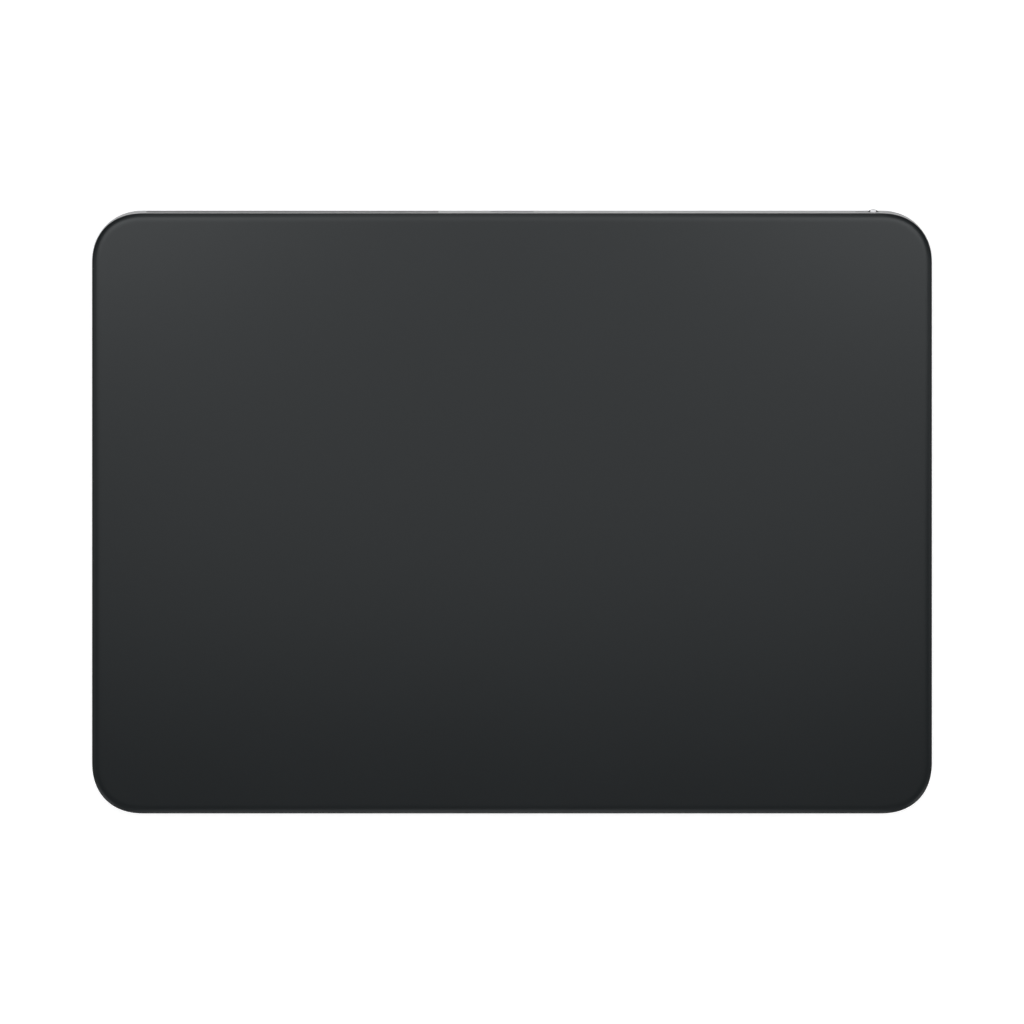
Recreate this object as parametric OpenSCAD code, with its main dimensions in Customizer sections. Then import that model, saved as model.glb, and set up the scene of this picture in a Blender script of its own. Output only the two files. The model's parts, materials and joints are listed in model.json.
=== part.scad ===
// Wireless desk trackpad: a glass touch surface on an aluminium wedge with four force-sensing feet.
// Millimetres. The origin lies on the desk under the middle of the part, +X right, +Y to the rear, +Z up.

/* [Body] */
// Width of the body, left to right
body_w = 160; // [152:1:176]
// Length of the glass along its slope, front to rear
glass_l = 114.5; // [110:0.5:124]
// Height of the front edge of the glass above the desk
front_h = 4.9; // [4.8:0.1:5.6]
// Height of the rear edge of the glass above the desk
rear_h = 10.9; // [10.5:0.1:12.5]
// Corner radius, square to the glass
corner_r = 9.3; // [8:0.1:11]

/* [Glass and sensor] */
// Thickness of the glass
glass_t = 1; // [0.8:0.05:1.2]
// Width of the band along the edge where the glass rolls down
roll_w = 1.1; // [0.6:0.05:1.3]
// Radius of that roll
roll_r = 1.6; // [1.4:0.05:2.4]
// Thickness of the seal between glass and case
seal_t = 0.15; // [0.1:0.01:0.25]
// How far the seal stays back from the outer edge
seal_back = 0.3; // [0.1:0.05:0.8]
// Thickness of the touch sensor board
sensor_t = 0.5; // [0.3:0.05:0.6]
// Thickness of the plate that stiffens the sensor
mid_plate_t = 0.6; // [0.4:0.05:0.7]
// Side clearance of the sensor and its plate in the case
plate_gap = 0.2; // [0.1:0.05:0.4]
// Margin of the plate's window round the sensor cable, left and right
window_side = 1; // [0.5:0.1:2]
// Length of the plate's window, front to rear
window_l = 4; // [3.2:0.1:5]

/* [Case] */
// Wall thickness round the sensor
wall_top = 3; // [2.4:0.1:3.4]
// Width of the ledge that carries the plate
ledge_w = 1.5; // [1:0.1:1.8]
// Wall thickness round the base plate
rebate_wall = 1.6; // [1.2:0.1:2]
// Chamfer along the lower edge
edge_chamfer = 0.35; // [0.1:0.05:0.6]
// How much larger the chamfer's corner radius is than the body's
edge_fuller = 0.1; // [0.1:0.05:0.3]
// Thickness of the base plate
base_t = 1; // [0.8:0.05:1.1]
// Clearance round the base plate
base_gap = 0.12; // [0.05:0.01:0.3]
// Thickness of the seal above the base plate
base_seal_t = 0.15; // [0.1:0.01:0.25]
// Height of the base plate above the desk
foot_gap = 0.6; // [0.4:0.05:0.7]

/* [Rear wall] */
// Depth of the centre line of port, switch and window below the glass surface
rear_line = 5.7; // [5.5:0.1:6]
// Distance of the antenna window from the left side
antenna_side = 10.3; // [9.5:0.1:14]
// Length of the antenna window
antenna_w = 55.7; // [44:0.1:57]
// Height of the antenna window
antenna_h = 6; // [4.6:0.1:6.2]
// Corner radius of the antenna window
antenna_r = 1.2; // [0.5:0.1:2]
// Wall left in front of the window's side tabs
antenna_lip = 1.6; // [1:0.1:2.2]
// Width of the side tabs that hold the window
antenna_tab = 1.2; // [0.8:0.1:1.4]
// Thickness of the window's backing and side tabs
antenna_back_t = 0.8; // [0.6:0.05:1]
// Fit of the window in its cut-out
antenna_fit = 0.05; // [0.02:0.01:0.15]
// Thickness of the antenna board behind the window
antenna_board_t = 0.6; // [0.4:0.1:0.8]
// Margin of the antenna board inside the window, left and right
antenna_board_side = 2; // [1:0.1:4]
// Margin of the antenna board inside the window, above and below
antenna_board_edge = 0.5; // [0.3:0.1:1]
// Legs of the antenna's copper meander
strip_legs = 12; // [6:1:16]
// Width of the copper meander's line
strip_w = 0.6; // [0.4:0.05:1]
// Thickness of the copper meander
strip_t = 0.08; // [0.05:0.01:0.1]
// Margin of the copper meander on its board, left and right
strip_side = 4; // [2:0.5:8]
// Margin of the copper meander on its board, above and below
strip_edge = 0.8; // [0.5:0.1:1.5]
// Middle of the charging port
port_x = 0; // [-4:0.5:4]
// Width inside the receptacle
port_w = 8.34; // [8:0.02:8.6]
// Height inside the receptacle
port_h = 2.56; // [2.4:0.02:2.8]
// Relief of the wall opening round the receptacle's mouth
port_relief = 0.05; // [0:0.01:0.12]
// Wall left in front of the receptacle
port_lip = 1.2; // [0.8:0.1:1.8]
// Distance of the switch slot's middle from the right side
slot_side = 12.3; // [12:0.1:18]
// Length of the switch slot
slot_w = 4.6; // [4:0.1:5.2]
// Height of the switch slot
slot_h = 1.9; // [1.7:0.05:2.2]
// Wall left in front of the switch
slot_lip = 1.2; // [0.8:0.1:1.4]

/* [Power switch] */
// Width of the knob
knob_w = 1.9; // [1.6:0.05:2.2]
// How far the knob's crown stands out of the wall
knob_proud = 0.5; // [0.3:0.05:0.6]
// Radius of the knob's crown
knob_r = 1.2; // [1.15:0.05:2]
// Rounding of the knob's four corners
knob_corner = 0.2; // [0.1:0.05:0.4]
// Clearance of the knob in its slot
knob_gap = 0.25; // [0.2:0.01:0.3]
// Overlap of the slider behind the slot's ends
slider_lap = 0.4; // [0.3:0.05:0.6]
// Height of the slider
slider_h = 3; // [2.8:0.05:3.2]
// Thickness of the slider
slider_t = 0.7; // [0.5:0.05:0.8]
// Running clearance round the slider
slider_gap = 0.2; // [0.15:0.01:0.3]
// Length of the switch housing
switch_body_w = 8; // [7:0.1:8.4]
// Width of the switch lever
lever_w = 1; // [0.8:0.05:1.2]
// Height of the switch lever
lever_h = 1.2; // [1:0.05:1.4]
// How far the lever reaches into the slider
lever_bite = 0.4; // [0.2:0.05:0.45]
// How far the lever reaches into the housing
lever_root = 0.8; // [0.5:0.05:1]
// Depth of the housing's opening for the lever
lever_room = 1.2; // [1.1:0.05:1.3]
// Thickness of the switch board
switch_board_t = 0.6; // [0.4:0.05:0.8]
// Length of the switch board past the slider's recess
switch_board_arm = 6; // [5:0.1:8]
// Length of the switch board past the housing's outer end
switch_board_lap = 0.3; // [0.1:0.05:0.4]
// Lap of the switch cable on the logic board
switch_cable_lap = 1.2; // [1:0.1:2]

/* [Charging port] */
// Sheet thickness of the receptacle
shell_t = 0.3; // [0.2:0.02:0.4]
// Length of the receptacle
shell_l = 7.3; // [6.8:0.1:8]
// Thickness of the receptacle's back
shell_back = 0.8; // [0.5:0.1:1.2]
// Clearance of the receptacle in its recess
shell_gap = 0.15; // [0.1:0.01:0.25]
// Width of the tongue
tongue_w = 6.7; // [6.2:0.05:6.8]
// Thickness of the tongue
tongue_t = 0.7; // [0.5:0.05:0.8]
// How far the tongue's tip stays behind the mouth
tongue_back = 0.7; // [0.4:0.05:1.2]
// Contacts on each face of the tongue
contact_count = 12; // [8:2:12]
// Pitch of the contacts
contact_pitch = 0.5; // [0.4:0.01:0.5]
// Thickness of a contact
contact_t = 0.05; // [0.03:0.01:0.08]
// Length of a contact
contact_l = 3.6; // [3:0.1:4]
// How far the contacts stay behind the tongue's tip
contact_back = 0.6; // [0.4:0.1:1]

/* [Feet] */
// Diameter of a rubber foot
foot_d = 12; // [9:0.5:13]
// Distance of a foot's middle from the two nearest sides
foot_inset = 16; // [15.5:0.5:20]
// Thickness of a rubber foot
foot_t = 1.1; // [0.9:0.05:1.3]
// Rounding of a foot's lower edge
foot_round = 0.35; // [0.1:0.05:0.5]
// Clearance between a foot and its hole in the base plate
foot_clear = 0.4; // [0.3:0.05:0.6]
// Overlap of a foot's flange behind the base plate
foot_lap = 0.9; // [0.5:0.1:1.2]
// Free height between flange and base plate
foot_drop = 0.3; // [0.3:0.05:0.4]
// Thickness of the flange
foot_flange_t = 0.3; // [0.2:0.05:0.4]
// Diameter of the silicone pad on the flange
pad_d = 9; // [6:0.5:10]
// Thickness of the silicone pad
pad_t = 0.5; // [0.45:0.05:0.6]
// Thickness of the force flexure
flexure_t = 0.35; // [0.25:0.05:0.4]
// Depth of the force flexure
flexure_l = 12; // [11:0.5:14]
// Rim of the flexure outside the middle of its screws
flexure_rim = 1.7; // [1.4:0.1:2]
// Slit width round the flexure's tongue
flexure_slit = 0.6; // [0.4:0.05:0.8]
// Corner radius of the flexure
flexure_r = 2; // [1:0.1:2.5]
// Corner radius of the flexure's tongue
tongue_r = 0.8; // [0.5:0.1:1]
// Corner radius of the slit's outer edge
slit_r = 1; // [0.5:0.1:1.5]
// Margin of the flexure's tongue round the pad
tongue_side = 0.5; // [0.3:0.05:0.7]
// Bridge of the flexure in front of its slit
flexure_bridge = 1.6; // [1.2:0.1:2]
// Width of a strain gauge
gauge_w = 5; // [3.6:0.1:6]
// Length of a strain gauge
gauge_l = 3; // [2:0.1:3.4]
// Thickness of a strain gauge
gauge_t = 0.08; // [0.05:0.01:0.1]
// Diameter of the posts that carry the flexures and the logic board
post_d = 3.4; // [3:0.1:3.8]

/* [Battery] */
// Width of the battery cell
battery_w = 95; // [80:1:100]
// Length of the battery cell, front to rear
battery_l = 42; // [38:0.5:43]
// Thickness of the battery cell
battery_t = 3.6; // [3:0.1:3.7]
// Corner radius of the battery cell
battery_r = 2; // [1:0.5:4]
// Thickness of the tape that holds the battery
tape_t = 0.16; // [0.14:0.02:0.2]
// Length of the sealed terrace at the battery's rear
terrace_l = 3; // [2.4:0.1:3.2]
// Thickness of the sealed terrace
terrace_t = 0.4; // [0.3:0.05:0.5]
// Gap from the battery's terrace to the logic board's connectors
battery_gap = 0.4; // [0.3:0.05:0.8]
// Width of the battery's protection board
battery_board_w = 30; // [20:1:40]
// Thickness of the battery's protection board
battery_board_t = 0.8; // [0.6:0.1:1]
// Margin of the protection board on the terrace
battery_board_gap = 0.2; // [0.1:0.05:0.4]
// Width of a tape strip
tape_w = 14; // [8:1:20]
// Distance of the tape strips from the battery's front and rear
tape_end = 2; // [1:0.5:5]

/* [Logic board] */
// Width of the logic board
board_w = 70; // [68:1:76]
// Depth of the logic board, front to rear
board_l = 9; // [9:0.1:9.6]
// Thickness of the logic board
board_t = 0.8; // [0.6:0.05:0.9]
// Gap between logic board and rear wall
board_gap = 0.3; // [0.2:0.05:0.5]
// Corner radius of the logic board
board_r = 0.8; // [0.4:0.1:1]
// Room left between neighbours on the boards
edge_room = 0.5; // [0.4:0.05:0.6]
// Width of a board connector
conn_w = 4.4; // [4:0.1:5]
// Depth of a board connector
conn_l = 2.2; // [2:0.1:2.4]
// Height of a board connector
conn_h = 1; // [0.8:0.05:1.2]
// Middles of the connectors, from the board's middle
conn_xs = [-28, -16, 0, 12, 28];
// Width of the flat cables
cable_w = 3.2; // [2:0.1:3.6]
// Thickness of the flat cables
cable_t = 0.12; // [0.1:0.01:0.13]
// Length of the sensor cable's bond in front of its fold
bond_l = 1.5; // [1:0.1:1.6]
// Middle of the shield can, from the board's middle
can_x = -18; // [-19:0.5:-17]
// Width of the shield can
can_w = 17; // [14:0.5:18]
// Height of the shield can
can_t = 1.5; // [1.2:0.1:1.6]
// Sheet thickness of the shield can
can_sheet = 0.2; // [0.1:0.05:0.3]
// Middles of the chips, from the board's middle
chip_xs = [9.5, 14.5, 21];
// Widths of the chips
chip_ws = [3.2, 4, 4.4];
// Heights of the chips
chip_ts = [0.9, 1, 0.8];
// Margin of the chips at the front and the rear of their row
chip_edges = [0.2, 0.4];

/* [Haptic motor] */
// Width of the motor frame
haptic_w = 62; // [56:1:72]
// Depth of the motor frame, front to rear
haptic_l = 20; // [18:0.5:20]
// Height of the motor frame
haptic_t = 2.5; // [2.3:0.05:2.6]
// Gap between motor frame and battery
haptic_gap = 3; // [2:0.5:5]
// Sheet thickness of the motor frame
haptic_wall = 0.6; // [0.4:0.05:0.7]
// Thickness of the motor coils
coil_t = 0.6; // [0.4:0.05:0.6]
// Width of a motor coil
coil_w = 22; // [18:0.5:24]
// Width of a coil's winding
coil_band = 3; // [2:0.1:4]
// Distance of a coil from the front and rear of the mass
coil_edge = 1.5; // [1:0.1:2]
// Distance of a coil's middle from the motor's middle
coil_x = 13; // [12.5:0.1:14]
// Width of the ears that hold the motor frame
ear_w = 4; // [3.6:0.1:5]
// Length of those ears, front to rear
ear_l = 6; // [4:0.5:8]
// Running clearance under the coils and round the mass
mass_gap = 0.3; // [0.25:0.01:0.35]
// Length of a leaf spring, from frame to mass
spring_l = 4; // [3:0.1:5]
// Thickness of a leaf spring
spring_t = 0.25; // [0.2:0.05:0.4]
// Length of a leaf spring's flat ends
spring_end = 3; // [2:0.1:4]
// Clearance of a leaf spring at full travel
spring_gap = 0.05; // [0.03:0.01:0.1]
// Travel of the mass to each side
haptic_travel = 0.3; // [0.2:0.05:0.35]
// Thickness of the magnets
magnet_t = 0.6; // [0.4:0.05:0.7]
// Clearance of the magnets in the mass
magnet_gap = 0.04; // [0.02:0.01:0.08]
// Margin of the magnets under their coil, left and right
magnet_side = 2; // [1:0.5:4]
// Margin of each magnet in its half of the mass, front and rear
magnet_edge = 0.8; // [0.6:0.1:1.2]

/* [Screws] */
// Radius of a screw's shank
screw_r = 0.6; // [0.5:0.05:0.7]
// Radius of a screw head
screw_head_r = 1.2; // [1.1:0.05:1.3]
// Radius of the switch screw's head
small_head_r = 0.9; // [0.8:0.05:1]
// Thickness of a screw head
screw_head_t = 0.45; // [0.35:0.05:0.5]
// Clearance beside a screw head
screw_gap = 0.3; // [0.2:0.05:0.4]
// Play of a screw in a plain hole
screw_fit = 0.05; // [0.03:0.01:0.08]
// Thread of a flexure screw in its post
thread_l = 0.5; // [0.4:0.05:0.6]
// Thread of a board screw in its post
board_thread_l = 2; // [1.5:0.1:2.2]

/* [Hidden] */
$fn = 96;
over = 0.1;
tilt = asin((rear_h - front_h) / glass_l);
run = glass_l * cos(tilt);
wall = wall_top + ledge_w;
case_top = glass_t + seal_t;
mid_under = glass_t + sensor_t + mid_plate_t;
deep = rear_h + 2;
// How far the foot of the rear wall and the crown of the knob reach behind the glass
lean = (rear_h - foot_gap) * tan(tilt);
knob_reach = rear_line * sin(tilt) + knob_proud * cos(tilt);
depth = run + max(lean, knob_reach);
front_y = -depth / 2;
// Length of the base outline, to a hundredth
base_l = round(100 * glass_l / cos(tilt)) / 100;
base_front = front_y + (front_h - foot_gap) * tan(tilt);
base_mid = base_front + base_l / 2;
base_top = foot_gap + base_t;

edge_r = corner_r + edge_fuller;
rim_band = wall_top;
hole_d = foot_d + 2 * foot_clear;
flange_z = base_top + foot_drop;
flange_d = hole_d + 2 * foot_lap;
pad_z = flange_z + foot_flange_t;
flexure_z = pad_z + pad_t;
gauge_z = flexure_z + flexure_t;
flexure_pitch = flange_d + 2 * (screw_head_r + screw_gap);
flexure_w = flexure_pitch + 2 * flexure_rim;
flexure_tongue_w = pad_d + 2 * tongue_side;
corners = [[-1, -1], [1, -1], [-1, 1], [1, 1]];

antenna_x = antenna_side + antenna_w / 2 - body_w / 2;
slot_x = body_w / 2 - slot_side;
slider_w = 2 * (slot_w - knob_gap - knob_w / 2 + slider_lap);
knob_travel = slot_w - knob_w - 2 * knob_gap;
knob_x = slot_x + knob_travel / 2;
recess_w = slider_w + knob_travel + 2 * slider_gap;
recess_h = slider_h + 2 * slider_gap;
slider_y = glass_l - slot_lip - slider_gap;
switch_y = slider_y - slider_t - slider_gap;
wall_y = glass_l - wall;

shell_w = port_w + 2 * shell_t;
shell_h = port_h + 2 * shell_t;
shell_y = glass_l - port_lip;
board_top = rear_line + shell_h / 2;
board_back = wall_y - board_gap;
board_front = board_back - board_l;
conn_y = board_front + conn_l / 2 + edge_room;
conn_top = board_top - conn_h;
board_post_x = board_w / 2 - post_d / 2 - edge_room;
board_post_y = board_back - post_d / 2 - edge_room;
cable_under = mid_under + cable_t;

battery_top = mid_under + tape_t;
battery_back = conn_y - conn_l / 2 - battery_gap - terrace_l;
battery_front = battery_back - battery_l;
haptic_back = battery_front - haptic_gap;
haptic_mid = haptic_back - haptic_l / 2;
mass_w = haptic_w - 2 * haptic_wall - 2 * spring_l;
mass_l = haptic_l - 2 * haptic_wall - 6 * mass_gap;
mass_top = mid_under + haptic_wall + coil_t + mass_gap;
mass_bottom = mid_under + haptic_t;
ear_x = haptic_w / 2 + ear_w / 2;

// Frame of the glass: x across, y up the slope from the front edge, z square to the surface
module on_slope() {
    translate([0, front_y, front_h]) rotate([tilt, 0, 0]) children();
}

module round_rect(w, l, r) {
    square([w - 2 * r, l], center = true);
    square([w, l - 2 * r], center = true);
    for (sx = [-1, 1], sy = [-1, 1]) {
        translate([sx * (w / 2 - r), sy * (l / 2 - r)]) circle(r);
    }
}

module pill(w, h) {
    square([w - h, h], center = true);
    for (side = [-1, 1]) {
        translate([side * (w - h) / 2, 0]) circle(h / 2);
    }
}

// Carries a profile round a rounded rectangle: x = 0 is the outline, minus x is inside
module round_sweep(w, l, r) {
    for (turn = [0 : 3]) {
        across = turn % 2 == 0 ? w : l;
        along = turn % 2 == 0 ? l : w;
        rotate(90 * turn) {
            translate([across / 2, 0, 0]) rotate([90, 0, 0]) {
                linear_extrude(along - 2 * r, center = true) children();
            }
            translate([across / 2 - r, along / 2 - r, 0]) {
                rotate_extrude(angle = 90) translate([r, 0]) children();
            }
        }
    }
}

// Plate parallel to the glass, with the body's outline drawn in by inset, between two depths
module slab(inset, top, bottom) {
    translate([0, glass_l / 2, -bottom]) linear_extrude(bottom - top) {
        round_rect(body_w - 2 * inset, glass_l - 2 * inset, corner_r - inset);
    }
}

// Flat plate parallel to the desk, with the base outline drawn in by inset
module base_slab(inset, bottom, top) {
    translate([0, base_mid, bottom]) linear_extrude(top - bottom) {
        round_rect(body_w - 2 * inset, base_l - 2 * inset, corner_r - inset);
    }
}

// Cut into the rear wall from y inwards, drawn as seen from behind the front
module rear_cut(x, y, l) {
    translate([x, y, -rear_line]) rotate([90, 0, 0]) linear_extrude(l) children();
}

// Block in the slope frame: middle in x, range in y, range in depth
module block(x, w, y0, y1, top, bottom) {
    translate([x - w / 2, y0, -bottom]) cube([w, y1 - y0, bottom - top]);
}

function foot_x(c) = c[0] * (body_w / 2 - foot_inset);
function foot_y(c) = base_mid + c[1] * (base_l / 2 - foot_inset);
// Place of a foot along the slope
function foot_s(c) = (foot_y(c) - front_y) / cos(tilt);

module at_foot(c) {
    translate([foot_x(c), foot_y(c), 0]) children();
}

// Everything that lies deeper than the underside of the mid plate
module under_mid_plate() {
    intersection() {
        children();
        on_slope() slab(0, mid_under, deep);
    }
}

module glass_rim() {
    translate([-rim_band, -glass_t]) square([rim_band - roll_w, glass_t]);
    intersection() {
        translate([-roll_w, -glass_t]) square([roll_w, glass_t]);
        translate([-roll_w, -roll_r]) circle(roll_r);
    }
}

module touch_glass() {
    color("#35383a") on_slope() {
        translate([0, glass_l / 2, 0]) round_sweep(body_w, glass_l, corner_r) glass_rim();
        slab(rim_band, 0, glass_t);
    }
}

module glass_seal() {
    color("#1c1d1e") on_slope() difference() {
        slab(seal_back, glass_t, case_top);
        slab(wall_top - plate_gap, glass_t - over, case_top + over);
    }
}

module touch_sensor() {
    color("#2f5d46") on_slope() slab(wall_top + plate_gap, glass_t, glass_t + sensor_t);
}

// Window in the plate for the cable of the sensor
module sensor_window() {
    block(conn_xs[2], cable_w + 2 * window_side, conn_y - window_l / 2, conn_y + window_l / 2,
        glass_t + sensor_t - over, mid_under + over);
}

module mid_plate() {
    color("#b9bcbe") on_slope() difference() {
        slab(wall_top + plate_gap, glass_t + sensor_t, mid_under);
        sensor_window();
    }
}

// Section of a block that starts on the chamfer line and flares past the walls
module lower_edge() {
    flare = 1;
    polygon([
        [-rim_band, 0], [-edge_chamfer, 0], [flare, edge_chamfer + flare], [flare, deep], [-rim_band, deep]
    ]);
}

// The chamfer's corners are a little fuller than the body's, so that their seams lie apart
module chamfered_base() {
    translate([0, base_mid, foot_gap]) round_sweep(body_w, base_l, edge_r) lower_edge();
    base_slab(rim_band, foot_gap, foot_gap + deep);
}

module rear_openings() {
    rear_cut(port_x, glass_l + over, wall + 2 * over) {
        pill(port_w + 2 * port_relief, port_h + 2 * port_relief);
    }
    rear_cut(port_x, shell_y, wall) pill(shell_w + 2 * shell_gap, shell_h + 2 * shell_gap);
    rear_cut(slot_x, glass_l + over, wall + 2 * over) pill(slot_w, slot_h);
    rear_cut(slot_x, glass_l - slot_lip, wall + over) square([recess_w, recess_h], center = true);
    rear_cut(antenna_x, glass_l + over, wall + 2 * over) round_rect(antenna_w, antenna_h, antenna_r);
    rear_cut(antenna_x, glass_l - antenna_lip, wall + over) {
        square([antenna_w + 2 * antenna_tab, antenna_h], center = true);
    }
}

module case() {
    color("#c9cbcc") difference() {
        intersection() {
            on_slope() slab(0, case_top, deep);
            chamfered_base();
        }
        on_slope() {
            slab(wall_top, case_top - over, mid_under);
            slab(wall, mid_under - over, deep + over);
            rear_openings();
        }
        base_slab(rebate_wall, foot_gap - over, base_top + base_seal_t);
    }
}

module base_seal() {
    color("#202122") difference() {
        base_slab(rebate_wall + seal_back, base_top, base_top + base_seal_t);
        base_slab(wall - plate_gap, base_top - over, base_top + base_seal_t + over);
    }
}

module base_plate() {
    color("#3a3c3e") difference() {
        base_slab(rebate_wall + base_gap, foot_gap, base_top);
        for (c = corners) {
            at_foot(c) translate([0, 0, foot_gap - over]) cylinder(d = hole_d, h = base_t + 2 * over);
        }
    }
}

module antenna_window() {
    w = antenna_w - 2 * antenna_fit;
    h = antenna_h - 2 * antenna_fit;
    back_y = glass_l - antenna_lip - antenna_fit;
    color("#8b8d8f") on_slope() {
        rear_cut(antenna_x, glass_l, glass_l - back_y + antenna_back_t) round_rect(w, h, antenna_r);
        rear_cut(antenna_x, back_y, antenna_back_t) square([w + 2 * antenna_tab, h], center = true);
    }
}

antenna_board_y = glass_l - antenna_lip - antenna_fit - antenna_back_t;
antenna_board_w = antenna_w - 2 * antenna_board_side;
antenna_board_h = antenna_h - 2 * antenna_board_edge;

module antenna_board() {
    color("#234c39") on_slope() rear_cut(antenna_x, antenna_board_y, antenna_board_t) {
        round_rect(antenna_board_w, antenna_board_h, antenna_board_edge);
    }
}

// Meander of copper on the inner face of the antenna board
module antenna_strip() {
    last = strip_legs - 1;
    pitch = (antenna_board_w - 2 * strip_side) / last;
    leg_h = antenna_board_h - 2 * strip_edge;
    color("#b87333") on_slope() rear_cut(antenna_x, antenna_board_y - antenna_board_t, strip_t) {
        for (i = [0 : last]) {
            x = (i - last / 2) * pitch;
            translate([x, 0]) square([strip_w, leg_h], center = true);
            if (i < last) {
                end = i % 2 == 0 ? 1 : -1;
                translate([x + pitch / 2, end * (leg_h - strip_w) / 2]) {
                    square([pitch + strip_w, strip_w], center = true);
                }
            }
        }
    }
}

module logic_board() {
    color("#1f4f3a") on_slope() difference() {
        translate([0, (board_front + board_back) / 2, -board_top - board_t]) {
            linear_extrude(board_t) round_rect(board_w, board_l, board_r);
        }
        for (side = [-1, 1]) {
            translate([side * board_post_x, board_post_y, -board_top - board_t - over]) {
                cylinder(r = screw_r, h = board_t + 2 * over);
            }
        }
    }
}

row_front = conn_y + conn_l / 2 + edge_room;
row_back = board_back - edge_room;

module shield_can() {
    color("#c5c7c8") on_slope() difference() {
        block(can_x, can_w, row_front, row_back, board_top - can_t, board_top);
        block(can_x, can_w - 2 * can_sheet, row_front + can_sheet, row_back - can_sheet,
            board_top - can_t + can_sheet, board_top + over);
    }
}

module controller_chips() {
    color("#26282a") on_slope() {
        for (i = [0 : len(chip_xs) - 1]) {
            block(chip_xs[i], chip_ws[i], row_front + chip_edges[0], row_back - chip_edges[1],
                board_top - chip_ts[i], board_top);
        }
    }
}

module board_connectors() {
    color("#d9d4c4") on_slope() {
        for (x = conn_xs) {
            block(x, conn_w, conn_y - conn_l / 2, conn_y + conn_l / 2, conn_top, board_top);
        }
    }
}

module board_posts() {
    color("#a9acae") on_slope() difference() {
        for (side = [-1, 1]) {
            translate([side * board_post_x, board_post_y, -board_top]) {
                cylinder(d = post_d, h = board_top - mid_under);
            }
        }
        for (side = [-1, 1]) {
            translate([side * board_post_x, board_post_y, -board_top - over]) {
                cylinder(r = screw_r, h = board_thread_l + over);
            }
        }
    }
}

module board_screws() {
    color("#8d9092") on_slope() {
        for (side = [-1, 1]) {
            translate([side * board_post_x, board_post_y, -board_top - board_t - screw_head_t]) {
                cylinder(r = screw_head_r, h = screw_head_t);
                cylinder(r = screw_r, h = screw_head_t + board_t + board_thread_l);
            }
        }
    }
}

module port_shell() {
    color("#b4b7b9") on_slope() difference() {
        rear_cut(port_x, shell_y, shell_l) pill(shell_w, shell_h);
        rear_cut(port_x, shell_y + over, shell_l - shell_back + over) pill(port_w, port_h);
    }
}

module port_tongue() {
    tongue_l = shell_l - shell_back - tongue_back;
    color("#1d1e1f") on_slope() {
        rear_cut(port_x, shell_y - tongue_back, tongue_l) round_rect(tongue_w, tongue_t, tongue_t / 4);
    }
}

module port_contacts() {
    contact_w = contact_pitch / 2;
    color("#d1a545") on_slope() {
        for (i = [0 : contact_count - 1], face = [-1, 1]) {
            x = (i - (contact_count - 1) / 2) * contact_pitch;
            rear_cut(port_x, shell_y - tongue_back - contact_back, contact_l) {
                translate([x, face * (tongue_t + contact_t) / 2]) {
                    square([contact_w, contact_t], center = true);
                }
            }
        }
    }
}

knob_h = slot_h - 2 * knob_gap;

module power_switch() {
    crown_y = glass_l + knob_proud - knob_r;
    color("#c2c4c6") on_slope() difference() {
        union() {
            intersection() {
                rear_cut(knob_x, glass_l + knob_proud, knob_proud + slot_lip + slider_gap + slider_t) {
                    round_rect(knob_w, knob_h, knob_corner);
                }
                translate([knob_x, crown_y, -rear_line - slider_h]) {
                    cylinder(r = knob_r, h = 2 * slider_h);
                    translate([-knob_r, -deep, 0]) cube([2 * knob_r, deep, 2 * slider_h]);
                }
            }
            rear_cut(knob_x, slider_y, slider_t) square([slider_w, slider_h], center = true);
        }
        rear_cut(knob_x, slider_y - slider_t + lever_bite, lever_bite + over) {
            square([lever_w + over, lever_h + over], center = true);
        }
    }
}

module switch_lever() {
    color("#2a2b2c") on_slope() {
        rear_cut(knob_x, slider_y - slider_t + lever_bite, lever_bite + slider_gap + lever_root) {
            square([lever_w, lever_h], center = true);
        }
    }
}

module switch_housing() {
    window_w = lever_w + knob_travel + 2 * slider_gap;
    color("#9a9d9f") on_slope() difference() {
        rear_cut(slot_x, switch_y, switch_y - wall_y) square([switch_body_w, slider_h], center = true);
        rear_cut(slot_x, switch_y + over, lever_room + over) {
            square([window_w, lever_h + 2 * slider_gap], center = true);
        }
    }
}

switch_board_left = slot_x - recess_w / 2 - switch_board_arm;
switch_board_right = slot_x + switch_body_w / 2 + switch_board_lap;
switch_screw_x = switch_board_left + small_head_r + edge_room;
switch_screw_up = slider_h / 2 - small_head_r;

module switch_board() {
    color("#1f4f3a") on_slope() difference() {
        rear_cut((switch_board_left + switch_board_right) / 2, wall_y, switch_board_t) {
            square([switch_board_right - switch_board_left, slider_h], center = true);
        }
        rear_cut(switch_screw_x, wall_y + over, switch_board_t + 2 * over) {
            translate([0, switch_screw_up]) circle(screw_r);
        }
    }
}

module switch_screw() {
    color("#8d9092") on_slope() rear_cut(switch_screw_x, wall_y, switch_board_t) {
        translate([0, switch_screw_up]) circle(screw_r - screw_fit);
    }
    color("#8d9092") on_slope() rear_cut(switch_screw_x, wall_y - switch_board_t, screw_head_t) {
        translate([0, switch_screw_up]) circle(small_head_r);
    }
}

// Flat cable on edge along the rear wall, from the switch board to the top of the logic board
module switch_cable() {
    right = slot_x - recess_w / 2;
    left = board_w / 2 - switch_cable_lap;
    cable_y = wall_y - switch_board_t;
    low = min(board_top, rear_line + slider_h / 2);
    high = low - (slider_h - 2 * small_head_r - screw_gap);
    foot_w = 1;
    color("#b0762c") on_slope() {
        block((left + right) / 2, right - left, cable_y - cable_t, cable_y, high, low);
        block(left + foot_w / 2, foot_w, cable_y - cable_t, cable_y, high, board_top);
    }
}

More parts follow.
